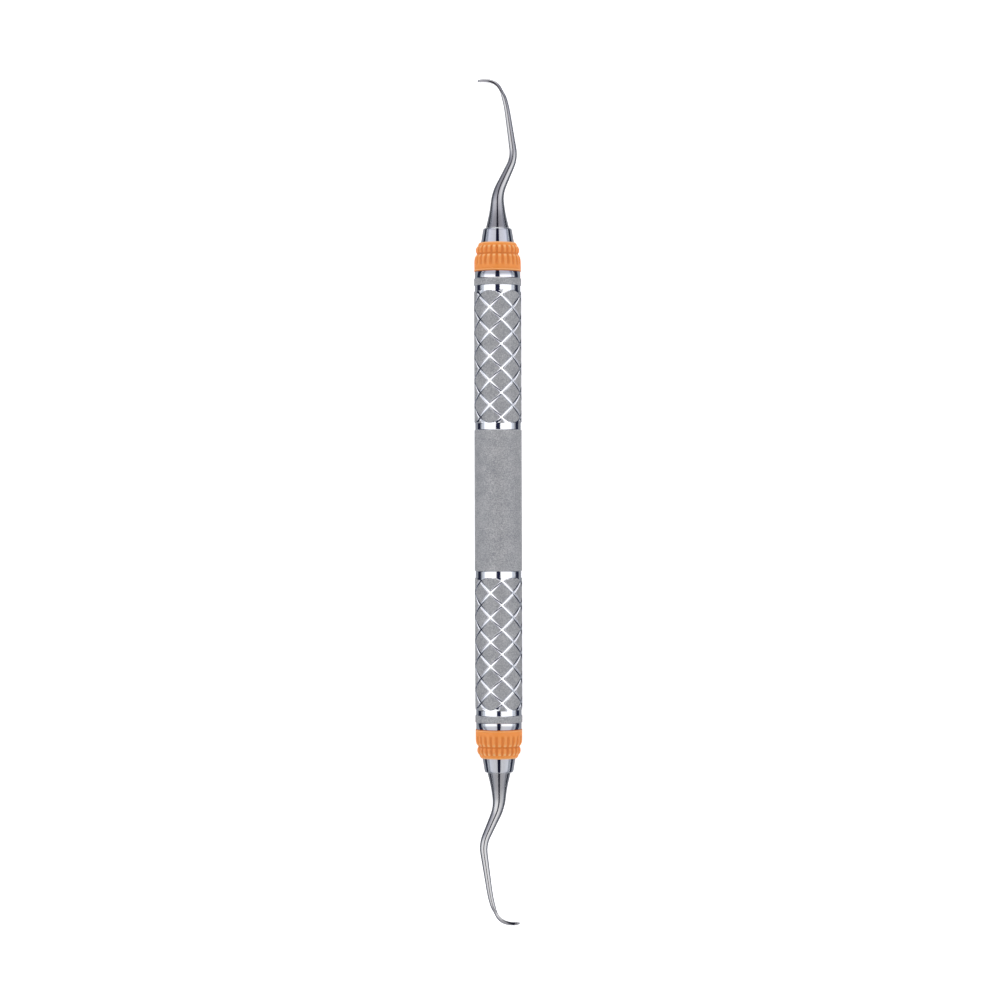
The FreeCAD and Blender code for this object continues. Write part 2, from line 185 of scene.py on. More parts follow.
def turned_steel(name):
    """Bright turned steel with very fine tool lines round the handle."""
    material, shader = new_material(name, 1.0, 0.07, (0.74, 0.75, 0.77))
    vector = stretched_coordinates(material, (0.02, 1, 0.02))
    lines = add_noise(material, vector, scale=16000, detail=2.0)
    link(material, add_range(material, lines, 0.05, 0.12), shader.inputs["Roughness"])
    colour = add_ramp(material, lines, [(0.35, (0.70, 0.71, 0.73)), (0.65, (0.78, 0.78, 0.80))])
    link(material, colour, shader.inputs["Base Color"])
    add_bump(material, shader, lines, strength=0.12, distance=0.002 * MM)
    return material


def mirror_steel(name, tint, roughness):
    """Polished steel with faint hairlines along the part."""
    material, shader = new_material(name, 1.0, roughness, tint)
    vector = stretched_coordinates(material, (1, 0.03, 1))
    lines = add_noise(material, vector, scale=9000, detail=3.0)
    darker = tuple(channel * 0.93 for channel in tint)
    colour = add_ramp(material, lines, [(0.35, darker), (0.65, tint)])
    link(material, colour, shader.inputs["Base Color"])
    rough = add_range(material, lines, roughness * 0.8, roughness * 1.5)
    link(material, rough, shader.inputs["Roughness"])
    add_bump(material, shader, lines, strength=0.1, distance=0.002 * MM)
    return material


def orange_plastic():
    """Satin moulded plastic, with a painted highlight on the crowns of the ribs and painted shade
    in their gaps.
    """
    material, shader = new_material("orange_ring", 0.0, 0.38, (0.86, 0.28, 0.06))
    # Point attribute of painted light: painted highlights on the rib crowns, lip and rim, painted
    # shade in the gaps, the valley and the seam.
    painted_light = add_node(material, "ShaderNodeAttribute", attribute_name="painted_light")
    vector = stretched_coordinates(material, (1, 1, 1))
    mottle = add_noise(material, vector, scale=1400, detail=3.0)
    tone = add_node(material, "ShaderNodeMath", operation="MULTIPLY_ADD")
    link(material, add_range(material, mottle, -0.5, 0.5), tone.inputs[0])
    tone.inputs[1].default_value = MOTTLE_SHARE
    link(material, painted_light.outputs["Fac"], tone.inputs[2])
    # Ramp stops: deep orange for painted shade, body orange, pale orange for painted highlight.
    colour = add_ramp(material, tone.outputs[0],
                      [(0.0, (0.66, 0.17, 0.02)), (0.5, (0.97, 0.32, 0.06)),
                       (1.0, (1.0, 0.58, 0.24))])
    link(material, colour, shader.inputs["Base Color"])
    link(material, add_range(material, mottle, 0.32, 0.46), shader.inputs["Roughness"])
    shader.inputs["Specular IOR Level"].default_value = 0.35
    grains = add_noise(material, vector, scale=9000, detail=2.0)
    add_bump(material, shader, grains, strength=0.2, distance=0.004 * MM)
    return material


def black_rubber():
    """Matte rubber of the ring seals."""
    material, shader = new_material("seal_rubber", 0.0, 0.6, (0.02, 0.02, 0.02))
    vector = stretched_coordinates(material, (1, 1, 1))
    grains = add_noise(material, vector, scale=7000, detail=3.0)
    colour = add_ramp(material, grains, [(0.3, (0.014, 0.014, 0.015)), (0.7, (0.03, 0.03, 0.03))])
    link(material, colour, shader.inputs["Base Color"])
    link(material, add_range(material, grains, 0.5, 0.7), shader.inputs["Roughness"])
    add_bump(material, shader, grains, strength=0.3, distance=0.004 * MM)
    return material


SATIN = satin_steel("satin_steel", 4200, 0.016 * MM, (0.30, 0.305, 0.315), (0.66, 0.655, 0.64))
PAD = satin_steel("blasted_pads", 3800, 0.02 * MM, (0.30, 0.305, 0.315), (0.61, 0.605, 0.59))
TURNED = turned_steel("turned_steel")
CONE_STEEL = mirror_steel("polished_cone", (0.72, 0.73, 0.75), 0.05)
TIP_STEEL = mirror_steel("polished_tip", (0.46, 0.455, 0.46), 0.12)
ORANGE = orange_plastic()
RUBBER = black_rubber()


# ================================================================ mesh helpers
def make_object(name, vertices, faces, material):
    """Smooth mesh object of one material, welded where its points meet."""
    mesh = bpy.data.meshes.new(name)
    mesh.from_pydata([tuple(v) for v in vertices], [], [tuple(f) for f in faces])
    mesh.materials.append(material)
    mesh.update()
    piece = bpy.data.objects.new(name, mesh)
    bpy.context.scene.collection.objects.link(piece)
    tidy = bmesh.new()
    tidy.from_mesh(mesh)
    bmesh.ops.remove_doubles(tidy, verts=tidy.verts, dist=1e-7)
    bmesh.ops.recalc_face_normals(tidy, faces=tidy.faces)
    tidy.to_mesh(mesh)
    tidy.free()
    mesh.polygons.foreach_set("use_smooth", [True] * len(mesh.polygons))
    return piece


def round_about_axis(radius, angle, along):
    """Point at `angle` from straight up towards +X, `along` the handle."""
    return (radius * math.sin(angle), along, AXIS_HEIGHT + radius * math.cos(angle))


def grid_faces(rows, columns, closed_rows=False):
    """Quads of a grid whose columns close round, and whose rows close too if asked."""
    faces = []
    for row in range(rows if closed_rows else rows - 1):
        following = (row + 1) % rows
        for column in range(columns):
            beside = (column + 1) % columns
            faces.append((row * columns + column, row * columns + beside,
                          following * columns + beside, following * columns + column))
    return faces


def turn_half(piece):
    """Turn a finished upper piece half a turn about +Z, to make its lower twin."""
    piece.data.transform(Matrix.Rotation(math.pi, 4, "Z"))
    piece.data.update()


# ================================================================ handle
# The grooves run at 45 degrees part of the way down their depth: both spacings are equal there.
ROLL_DEPTH = 0.07 * MM
ROLL_RADIUS = HANDLE_RADIUS - ROLL_DEPTH
PERIOD = 2 * math.pi * ROLL_RADIUS / STARTS         # groove spacing, round and along
ARC_HEIGHT = RUN_OUT * (1 - math.cos(math.pi / 4))
ARC_SHIFT = ARC_HEIGHT - RUN_OUT * math.sin(math.pi / 4)
KNURL_LENGTH = KNURL_END - KNURL_START - 2 * RUN_OUT_EDGE


def groove_lines():
    """Distances of the mesh lines from a groove's middle, measured square to the groove.

    They are close together down the wall, and wider apart over the pad beside it.
    """
    wall = GROOVE_TOP - GROOVE_FLOOR
    beside = [0.0, GROOVE_FLOOR]
    beside += [GROOVE_FLOOR + wall * share for share in (0.25, 0.5, 0.75, 1.0, 1.3)]
    beside += [0.6 * MM, 0.95 * MM, 1.35 * MM, PERIOD / 2 / math.sqrt(2)]
    return [-distance for distance in beside[1:-1]] + beside


def distance_of_run(run):
    """Distance from the end of the knurl for an unrolled run of the grooves.

    A groove leaves the end along an arc, and then goes on at 45 degrees.
    """
    if run >= ARC_HEIGHT:
        return run
    return RUN_OUT - math.sqrt(max(0.0, RUN_OUT ** 2 - (run - ARC_SHIFT) ** 2))


def groove_slope(distance):
    """Sine of a groove's angle to the end of the knurl, at a distance from that end."""
    if distance >= ARC_HEIGHT:
        return math.sin(math.pi / 4)
    return math.sqrt(max(0.0, 2 * RUN_OUT * distance - distance ** 2)) / RUN_OUT


def off_line(value):
    """Distance of an unrolled coordinate from the nearest groove."""
    return abs((value + PERIOD / 2) % PERIOD - PERIOD / 2)


def knurl_sector(phase):
    """One sixth of the knurl, as flat (across, run) points with the mesh along the grooves."""
    low, high = ARC_SHIFT, KNURL_LENGTH - ARC_SHIFT
    lines = [distance * math.sqrt(2) for distance in groove_lines()]
    reach = int((high - low + PERIOD) / PERIOD) + 2
    rising = sorted(k * PERIOD + line - phase for k in range(-reach, reach + 1) for line in lines)
    falling = sorted(k * PERIOD + line + phase for k in range(-reach, reach + 1) for line in lines)
    margin = 0.8 * MM
    flat = bmesh.new()
    grid = {}
    for i, u in enumerate(rising):
        for j, v in enumerate(falling):
            across, run = (u + v) / 2, (v - u) / 2
            if -margin < across < PERIOD + margin and low - margin < run < high + margin:
                grid[i, j] = flat.verts.new((across, run, 0))
    for i, j in list(grid):
        corners = [(i, j), (i + 1, j), (i + 1, j + 1), (i, j + 1)]
        if all(corner in grid for corner in corners):
            flat.faces.new([grid[corner] for corner in corners])
    cuts = [((0, 0, 0), (-1, 0, 0)), ((PERIOD, 0, 0), (1, 0, 0)),
            ((0, low, 0), (0, -1, 0)), ((0, high, 0), (0, 1, 0))]
    for point, normal in cuts:
        everything = flat.verts[:] + flat.edges[:] + flat.faces[:]
        bmesh.ops.bisect_plane(flat, geom=everything, dist=1e-8, plane_co=point,
                               plane_no=normal, clear_outer=True)
    loose = [vertex for vertex in flat.verts if not vertex.link_faces]
    bmesh.ops.delete(flat, geom=loose, context="VERTS")
    flat.verts.index_update()
    points = [(vertex.co.x, vertex.co.y) for vertex in flat.verts]
    faces = [[vertex.index for vertex in face.verts] for face in flat.faces]
    flat.free()
    return points, faces


def knurl_point(across, run, phase):
    """(distance along the knurl, distance from the nearest groove's middle) at a flat point."""
    near = distance_of_run(min(run, KNURL_LENGTH - run))
    aside = min(off_line(across - run + phase), off_line(across + run - phase))
    along = near if run < KNURL_LENGTH / 2 else KNURL_LENGTH - near
    return along, aside * groove_slope(near)


def draw_out(body, ring, side, stations):
    """Carry an open ring of edges through (along, radius, material) stations."""
    for along, radius, material in stations:
        made = bmesh.ops.extrude_edge_only(body, edges=ring)["geom"]
        fresh = {part for part in made if isinstance(part, bmesh.types.BMVert)}
        for vertex in fresh:
            spoke = Vector((vertex.co.x, 0, vertex.co.z - AXIS_HEIGHT)).normalized() * radius
            vertex.co = (spoke.x, along * side, AXIS_HEIGHT + spoke.z)
        for face in [part for part in made if isinstance(part, bmesh.types.BMFace)]:
            face.material_index = material
        edges = [part for part in made if isinstance(part, bmesh.types.BMEdge)]
        ring = [edge for edge in edges if edge.verts[0] in fresh and edge.verts[1] in fresh]


SATIN_FACE, BRIGHT_FACE, PAD_FACE = 0, 1, 2


def inner_stations():
    """Turned outline from the knurl to the middle of the handle."""
    stations = [(KNURL_START + RUN_OUT_EDGE / 2, BAND_RADIUS, BRIGHT_FACE),
                (KNURL_START, BAND_RADIUS, BRIGHT_FACE),
                (CENTRE_BAND_END + 3 * EDGE, BAND_RADIUS, BRIGHT_FACE),
                (CENTRE_BAND_END + EDGE, BAND_RADIUS, BRIGHT_FACE),
                (CENTRE_BAND_END + EDGE / 2, HANDLE_RADIUS - EDGE, BRIGHT_FACE),
                (CENTRE_BAND_END, HANDLE_RADIUS - EDGE / 3, BRIGHT_FACE),
                (CENTRE_BAND_END - EDGE, HANDLE_RADIUS, SATIN_FACE),
                (CENTRE_BAND_END - 3 * EDGE, HANDLE_RADIUS, SATIN_FACE)]
    for share in (0.8, 0.6, 0.4, 0.2):
        stations.append((CENTRE_BAND_END * share, HANDLE_RADIUS, SATIN_FACE))
    return stations


def outer_stations():
    """Turned outline from the knurl to the end of the neck, and back along the bore."""
    outline = [(KNURL_END - RUN_OUT_EDGE / 2, BAND_RADIUS), (KNURL_END, BAND_RADIUS),
               (OUTER_BAND_END - 2 * EDGE, BAND_RADIUS), (OUTER_BAND_END - EDGE, BAND_RADIUS),
               (OUTER_BAND_END - EDGE / 2, HANDLE_RADIUS - EDGE),
               (OUTER_BAND_END, HANDLE_RADIUS - EDGE / 3), (OUTER_BAND_END + EDGE, HANDLE_RADIUS),
               (OUTER_BAND_END + 3 * EDGE, HANDLE_RADIUS),
               (NARROW_RING_END - 3 * EDGE, HANDLE_RADIUS), (NARROW_RING_END - EDGE, HANDLE_RADIUS),
               (NARROW_RING_END, HANDLE_RADIUS - EDGE / 2),
               (NARROW_RING_END + EDGE / 2, BAND_RADIUS),
               (NARROW_RING_END + 3 * EDGE, BAND_RADIUS), (COLLAR_END - EDGE, BAND_RADIUS),
               (COLLAR_END, BAND_RADIUS - EDGE), (COLLAR_END, NECK_RADIUS),
               (TUBE_END, NECK_RADIUS), (TUBE_END, BORE_RADIUS), (CENTRE_BAND_END, BORE_RADIUS)]
    satin_from, satin_to = OUTER_BAND_END + EDGE / 2, NARROW_RING_END
    stations = []
    for along, radius in outline:
        on_ring = satin_from < along < satin_to and radius > BAND_RADIUS
        stations.append((along, radius, SATIN_FACE if on_ring else BRIGHT_FACE))
    return stations


def add_half_handle(body, end):
    """Knurl first, then the turned steps are drawn out of its two open ends."""
    side = 1 if end == "upper" else -1
    phase = FIRST_CROSSING[end] - KNURL_START - RUN_OUT_EDGE
    points, faces = knurl_sector(phase)
    knurl = []
    for sector in range(STARTS):
        made = []
        for across, run in points:
            along, aside = knurl_point(across, run, phase)
            share = float(smooth(GROOVE_FLOOR, GROOVE_TOP, aside))
            radius = BAND_RADIUS + share * (HANDLE_RADIUS - BAND_RADIUS)
            angle = CROSSING_ANGLE + across / ROLL_RADIUS + sector * 2 * math.pi / STARTS
            along = (KNURL_START + RUN_OUT_EDGE + along) * side
            made.append(body.verts.new(round_about_axis(radius, angle, along)))
        for face in faces:
            across = sum(points[corner][0] for corner in face) / len(face)
            run = sum(points[corner][1] for corner in face) / len(face)
            new_face = body.faces.new([made[corner] for corner in face])
            in_groove = knurl_point(across, run, phase)[1] < GROOVE_TOP
            new_face.material_index = BRIGHT_FACE if in_groove else PAD_FACE
        knurl += made
    bmesh.ops.remove_doubles(body, verts=knurl, dist=2e-7)
    middle = (KNURL_START + KNURL_END) / 2
    open_edges = [edge for edge in body.edges if len(edge.link_faces) == 1]
    open_edges = [edge for edge in open_edges if edge.verts[0].co.y * side > KNURL_START]
    inner = [edge for edge in open_edges if abs(edge.verts[0].co.y) < middle]
    outer = [edge for edge in open_edges if abs(edge.verts[0].co.y) > middle]
    draw_out(body, inner, side, inner_stations())
    draw_out(body, outer, side, outer_stations())


def make_handle():
    """Two knurled halves, joined round the middle of the satin band and inside the bore."""
    body = bmesh.new()
    for end in ("upper", "lower"):
        add_half_handle(body, end)
    open_edges = [edge for edge in body.edges if len(edge.link_faces) == 1]
    for in_bore, material in ((True, BRIGHT_FACE), (False, SATIN_FACE)):
        rings = []
        for edge in open_edges:
            point = edge.verts[0].co
            if (math.hypot(point.x, point.z - AXIS_HEIGHT) < NECK_RADIUS) == in_bore:
                rings.append(edge)
        for face in bmesh.ops.bridge_loops(body, edges=rings)["faces"]:
            face.material_index = material
    bmesh.ops.recalc_face_normals(body, faces=body.faces)
    mesh = bpy.data.meshes.new("knurled_handle")
    body.to_mesh(mesh)
    body.free()
    for material in (SATIN, TURNED, PAD):
        mesh.materials.append(material)
    mesh.polygons.foreach_set("use_smooth", [True] * len(mesh.polygons))
    piece = bpy.data.objects.new("knurled_handle", mesh)
    bpy.context.scene.collection.objects.link(piece)
    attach(piece, "handle")
    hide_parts("handle_tube")


# ================================================================ colour rings
RIBS = 24
RIB_PHASE = {"upper": math.radians(5.5), "lower": math.radians(-1.5)}
RING_MOUTH = 3.55 * MM
RING_CLEARANCE = 0.01 * MM                          # between the ring and the neck it sits on
RIB_COLUMNS = 12                                    # mesh columns for each rib


def rib_wave(angle, phase):
    """1 on the crown of a rib and 0 in the gap beside it, with rounded shoulders."""
    return smooth(0.15, 0.75, (math.cos((angle - phase) * RIBS) + 1) / 2)


def ring_stations():
    """(along, crown radius, gap radius) in mm, from the lip beside the handle to the rim."""
    lip, large, small = 4.72, 4.69, 4.37
    return [
        (0.0, lip - 0.2, lip - 0.2), (0.03, lip - 0.1, lip - 0.1), (0.1, lip - 0.02, lip - 0.02),
        (0.2, lip, lip), (0.32, lip - 0.01, lip - 0.01), (0.4, lip - 0.06, lip - 0.06),
        (0.45, large - 0.05, large - 0.05), (0.52, large, large), (0.9, large, large),
        (1.15, large, large - 0.01), (1.35, large, large - 0.07), (1.6, large, large - 0.17),
        (1.9, large, large - 0.23), (2.3, large - 0.02, large - 0.27), (2.6, 4.62, 4.38),
        (2.85, 4.56, 4.33), (3.05, 4.48, 4.28), (3.2, 4.39, 4.24), (3.3, 4.29, 4.2),
        (3.38, 4.2, 4.16), (3.48, 4.15, 4.13), (3.58, 4.15, 4.11), (3.68, 4.2, 4.09),
        (3.8, 4.29, 4.07), (3.95, small - 0.02, 4.06), (4.2, small, 4.05), (4.45, small, 4.04),
        (4.7, 4.31, 4.01), (4.88, 4.23, 3.99), (5.02, 4.13, 3.97), (5.12, 4.02, 3.95),
        (5.18, 3.94, 3.92), (5.28, 3.92, 3.92), (5.42, 3.9, 3.9), (5.56, 3.83, 3.83),
        (5.7, 3.74, 3.74), (5.8, 3.66, 3.66), (5.85, 3.6, 3.6)]


def painted_rib_light(along, wave):
    """Share of painted light in the colour: 0 for painted shade in a gap, 0.5 where smooth, 1 for a
    painted highlight on a rib's crown.
    """
    in_large = smooth(1.0, 1.5, along) * smooth(3.42, 3.3, along)
    in_small = smooth(3.62, 3.72, along) * smooth(5.2, 5.1, along)
    # Painted highlight on the front faces of the rib heads.
    head_highlight = smooth(2.7, 3.2, along) * in_large + smooth(4.5, 5.0, along) * in_small
    # Painted shade in the valley between the two tiers.
    valley_shade = smooth(3.3, 3.4, along) * smooth(3.75, 3.62, along)
    ribbed = in_large + in_small
    # Painted shade in the rib gaps and a painted highlight on their crowns.
    painted_light = 0.5 + ribbed * (0.34 * wave - 0.26 + 0.36 * head_highlight * wave) - 0.35 * valley_shade
    # Painted highlight along the rolled lip and along the rim.
    edge = smooth(0.42, 0.3, along) + smooth(5.5, 5.7, along)
    # Painted shade at the foot of the lip, where the ring meets the collar.
    seam_shade = smooth(0.2, 0.1, along)
    return min(1.0, max(0.0, painted_light + 0.3 * edge - seam_shade))


def make_colour_ring(end):
    """Two tiers of rounded ribs between a rolled lip and a smooth rim."""
    columns = RIBS * RIB_COLUMNS
    phase = RIB_PHASE[end]
    waves = [float(rib_wave(2 * math.pi * column / columns, phase)) for column in range(columns)]
    rings = []
    for along, crown, gap in ring_stations():
        rings.append((along * MM, [(gap + (crown - gap) * wave) * MM for wave in waves]))
    neck_length = TUBE_END - COLLAR_END
    inner = [(RING_LENGTH - EDGE, RING_MOUTH), (neck_length, RING_MOUTH),
             (neck_length, NECK_RADIUS + RING_CLEARANCE), (0.0, NECK_RADIUS + RING_CLEARANCE)]
    rings += [(along, [radius] * columns) for along, radius in inner]
    vertices = []
    for along, radii in rings:
        for column, radius in enumerate(radii):
            angle = 2 * math.pi * column / columns
            vertices.append(round_about_axis(radius, angle, COLLAR_END + along))
    faces = grid_faces(len(rings), columns, closed_rows=True)
    piece = make_object(end + "_ribbed_ring", vertices, faces, ORANGE)
    # Painted light and shade for the ring's colour, stored on each point.
    painted_light = piece.data.attributes.new("painted_light", "FLOAT", "POINT")
    for vertex in piece.data.vertices:
        angle = math.atan2(vertex.co.x, vertex.co.z - AXIS_HEIGHT)
        along = (vertex.co.y - COLLAR_END) / MM
        painted_light.data[vertex.index].value = painted_rib_light(along, float(rib_wave(angle, phase)))
    if end == "lower":
        turn_half(piece)
    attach(piece, "handle")
    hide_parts(end + "_colour_ring")


# ================================================================ cones
THREAD_PITCH = 0.5 * MM
THREAD_ROOT = 0.24 * MM                             # depth of the thread
PLAIN_START = 0.3 * MM                              # stud without thread, at its end
PLAIN_END = 0.4 * MM                                # and where it meets the spigot
# Outline of the cone in mm, measured from the middle of the handle.
THREAD_STEP = 0.0625                                # between the mesh rings of the thread
STUD_CHAMFER = 0.35
STUD_TIP_RADIUS = 1.6
STUD_RADIUS = 2.0
SPIGOT_START = 48.0
SPIGOT_RADIUS = 2.9
SEAL_GROOVE = (49.5, 50.4)
SEAL_GROOVE_RADIUS = 2.2
SHOULDER = 51.32
SHOULDER_RADIUS = 3.44
CONE_FACE = 54.75
CONE_FACE_RADIUS = 2.85
ROUNDED_EDGE = [(54.5, 2.885), (54.6, 2.84), (54.68, 2.77), (54.73, 2.68), (54.75, 2.58)]
TANG_BORE = 1.5
TANG_BORE_START = 46.75


def cone_profile():
    """(along, radius) of the cone from the stud's end to the bore for the tang."""
    start = STUD_START / MM
    outline = [(start, 0.0), (start, STUD_TIP_RADIUS), (start + STUD_CHAMFER, STUD_RADIUS)]
    outline += [(start + STUD_CHAMFER + THREAD_STEP * k, STUD_RADIUS) for k in range(1, 86)]
    groove_start, groove_end = SEAL_GROOVE
    outline += [(SPIGOT_START, STUD_RADIUS), (SPIGOT_START, SPIGOT_RADIUS - 0.08),
                (SPIGOT_START + 0.08, SPIGOT_RADIUS), (groove_start - 0.05, SPIGOT_RADIUS),
                (groove_start, SPIGOT_RADIUS - 0.04), (groove_start, SEAL_GROOVE_RADIUS + 0.02),
                (groove_start + 0.05, SEAL_GROOVE_RADIUS), (groove_end - 0.05, SEAL_GROOVE_RADIUS),
                (groove_end, SEAL_GROOVE_RADIUS + 0.02), (groove_end, SPIGOT_RADIUS - 0.04),
                (groove_end + 0.05, SPIGOT_RADIUS), (SHOULDER - 0.02, SPIGOT_RADIUS),
                (SHOULDER, SHOULDER_RADIUS - 0.14), (SHOULDER + 0.02, SHOULDER_RADIUS - 0.02),
                (SHOULDER + 0.1, SHOULDER_RADIUS - 0.01)]
    slope = (SHOULDER_RADIUS - CONE_FACE_RADIUS) / (CONE_FACE - SHOULDER)
    for along in (52.0, 52.8, 53.6, 54.1, 54.4):
        outline.append((along, SHOULDER_RADIUS - slope * (along - SHOULDER)))
    outline += ROUNDED_EDGE
    outline += [(CONE_FACE, 2.5), (CONE_FACE, TANG_BORE + 0.05), (CONE_FACE - 0.05, TANG_BORE),
                (TANG_BORE_START, TANG_BORE), (TANG_BORE_START, 0.0)]
    return [(along * MM, radius * MM) for along, radius in outline]


def make_cone(end):
    """Polished cone on its threaded stud."""
    columns = 144
    profile = cone_profile()
    shift = CONE_END - profile[-1][0] - (CONE_FACE - TANG_BORE_START) * MM
    vertices = []
    stud_end = SPIGOT_START * MM
    for along, radius in profile:
        for column in range(columns):
            angle = 2 * math.pi * column / columns
            cut = 0.0
            on_stud = STUD_START + PLAIN_START < along < stud_end - PLAIN_END
            if on_stud and radius > TANG_BORE * MM:
                turn = (along / THREAD_PITCH - angle / (2 * math.pi)) % 1
                cut = THREAD_ROOT * (1 - abs(2 * turn - 1))
            vertices.append(round_about_axis(radius - cut, angle, along + shift))
    faces = grid_faces(len(profile), columns)
    piece = make_object(end + "_polished_cone", vertices, faces, CONE_STEEL)
    if end == "lower":
        turn_half(piece)
    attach(piece, end + "_end")
    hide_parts(end + "_cone")


# ================================================================ tips
FIRST_BEND = (0.0, 7.0, 0.0)                        # side, out, dip, in mm from the cone's face
SECOND_BEND = (3.35, 14.35, 1.2)
BLADE_BEND = (1.5, 27.3, 2.0)
BLADE_MIDDLE = (-0.9, 30.4, 2.4)
TOE = (-4.05, 30.1, 2.6)
SHANK_REACH = 3.9 * MM
BLADE_REACH = 8.8 * MM
CLOCKING = math.radians(1.5)
SHANK_STEP = 2.45 * MM
SHANK_RADII = [2.38, 1.76, 1.39, 1.15, 1.0, 0.91, 0.82, 0.745, 0.68, 0.63, 0.58, 0.53, 0.45]
BLADE_WIDTH = 0.9 * MM
BLADE_THICKNESS = 0.78 * MM
BLADE_FACE = 0.45 * BLADE_THICKNESS                 # flat face above the blade's centreline
BLADE_STATIONS = [0.0, 1.2, 2.5, 3.8, 5.1, 6.4]     # mm back from the toe
BLADE_SCALES = [0.6, 0.9, 0.97, 0.99, 0.89, 0.77]   # of the full section at those stations
FACE_CROWN = 0.03                                   # rise of the flat face, of the thickness
BLEND_START = 7.4 * MM                              # back from the toe, where the shank is round
BLEND_END = 5.2 * MM                                # and where the blade has its full section
TOE_RADIUS = 0.42 * MM
TANG_RADIUS = 1.5 * MM
TANG_LENGTH = 7.75 * MM
TANG_CHAMFER = 0.15 * MM
TIP_COLUMNS = 56
TIP_STEP = 0.14 * MM                                # between the mesh rings of shank and blade


def quadratic_spline(poles, samples):
    """Points of a clamped quadratic B-spline with uniform inner knots."""
    poles = np.array(poles, float)
    spans = len(poles) - 2
    knots = np.concatenate([[0, 0], np.arange(spans + 1), [spans, spans]]).astype(float)
    made = []
    for value in np.linspace(0, spans, samples):
        span = min(int(value), spans - 1) + 2
        inner = [poles[span - 2 + k] for k in range(3)]
        for level in (1, 2):
            for k in range(2, level - 1, -1):
                low = knots[span - 2 + k]
                high = knots[span + 1 + k - level]
                share = (value - low) / (high - low) if high > low else 0.0
                inner[k] = (1 - share) * inner[k - 1] + share * inner[k]
        made.append(inner[2])
    return np.array(made)


def tip_poles(depth_sign):
    """Control points of the shank's centreline, from the face of the cone."""
    corners = [Vector((0, 0, 0))]
    for side, out, dip in (FIRST_BEND, SECOND_BEND, BLADE_BEND, BLADE_MIDDLE, TOE):
        corners.append(Vector((side, out, -dip * depth_sign)) * MM)
    start, first, second, blade_bend, blade_middle, toe = corners
    poles = [start]
    for before, corner, after in ((start, first, second), (first, second, blade_bend)):
        poles.append(corner - (corner - before).normalized() * SHANK_REACH)
        poles.append(corner)
        poles.append(corner + (after - corner).normalized() * SHANK_REACH)
    poles.append(blade_bend - (blade_bend - second).normalized() * BLADE_REACH)
    poles += [blade_bend, blade_middle, toe]
    shank = (blade_bend - second).normalized()
    blade = (toe - blade_bend).normalized()
    return poles, blade.cross(shank).normalized()


def even_stations(points, step):
    """Points at even steps along a polyline, with their distances."""
    lengths = np.concatenate([[0], np.cumsum(np.linalg.norm(np.diff(points, axis=0), axis=1))])
    count = int(lengths[-1] / step)
    distances = np.linspace(0, lengths[-1], count + 1)
    placed = np.stack([np.interp(distances, lengths, points[:, k]) for k in range(3)], axis=1)
    return placed, distances


def shank_radius(distances):
    """Radius of the round shank: a smooth line through the taper's stations."""
    poles = [(k * SHANK_STEP, r * MM, 0) for k, r in enumerate(SHANK_RADII)]
    line = quadratic_spline(poles, 400)
    return np.interp(distances, line[:, 0], line[:, 1])


def blade_section(angle, scale, toe_round):
    """Half-round section: (across, up) with a flat face on top and a rounded back below."""
    depth = BLADE_THICKNESS * scale
    across = BLADE_WIDTH / 2 * scale * toe_round * math.cos(angle)
    rise = FACE_CROWN if math.sin(angle) >= 0 else 1.0
    up = BLADE_FACE + rise * depth * math.sin(angle)
    middle = BLADE_FACE - depth / 2
    return across, middle + (up - middle) * toe_round


def make_tip(end, depth_sign):
    """Tang, bent tapered shank and half-round blade with a rounded toe, in one skin."""
    poles, across_hint = tip_poles(depth_sign)
    points, distances = even_stations(quadratic_spline(poles, 1500), TIP_STEP)
    total = distances[-1]
    radii = shank_radius(distances)
    tangents = np.gradient(points, axis=0)
    tangents /= np.linalg.norm(tangents, axis=1)[:, None]
    angles = [2 * math.pi * k / TIP_COLUMNS for k in range(TIP_COLUMNS)]
    rings = [[(0.0, -TANG_LENGTH, 0.0)] * TIP_COLUMNS]
    tang = [(-TANG_LENGTH, TANG_RADIUS * 0.9), (-TANG_LENGTH + TANG_CHAMFER, TANG_RADIUS),
            (-0.02 * MM, TANG_RADIUS), (0.0, TANG_RADIUS), (0.0, radii[0] - 0.04 * MM)]
    for along, radius in tang:
        rings.append([(radius * math.cos(a), along, radius * math.sin(a)) for a in angles])
    for point, tangent, distance, radius in zip(points, tangents, distances, radii):
        tangent = Vector(tangent)
        across = (across_hint - tangent * across_hint.dot(tangent)).normalized()
        up = tangent.cross(across)
        from_toe = total - distance
        flat = float(smooth(BLEND_START, BLEND_END, from_toe))
        scale = float(np.interp(from_toe / MM, BLADE_STATIONS, BLADE_SCALES))
        toe_round = math.sqrt(max(0.0, 1 - max(0.0, 1 - from_toe / TOE_RADIUS) ** 2))
        ring = []
        for angle in angles:
            blade = blade_section(angle, scale, toe_round)
            x = (1 - flat) * radius * math.cos(angle) + flat * blade[0]
            y = (1 - flat) * radius * math.sin(angle) + flat * blade[1]
            ring.append(tuple(Vector(point) + across * x + up * y))
        rings.append(ring)
    vertices = [v for ring in rings for v in ring]
    faces = grid_faces(len(rings), TIP_COLUMNS)
    piece = make_object(end + "_scaler_tip", vertices, faces, TIP_STEEL)
    piece.data.transform(Matrix.Translation((0, CONE_END, AXIS_HEIGHT))
                         @ Matrix.Rotation(CLOCKING, 4, Vector((0, -1, 0))))
    if end == "lower":
        turn_half(piece)
    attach(piece, end + "_end")
    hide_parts(end + "_tip")


# ================================================================ floor, light and camera
GREY_CARD = (0.34, 0.36, 0.40)
NAVY_CARD = (0.018, 0.022, 0.045)
CARDS = ((4, 13, GREY_CARD), (13, 46, NAVY_CARD), (46, 400, GREY_CARD))     # from, to in mm
CARD_HEIGHT = 0.0004
CARD_REACH = 0.5                                    # along the instrument, each way


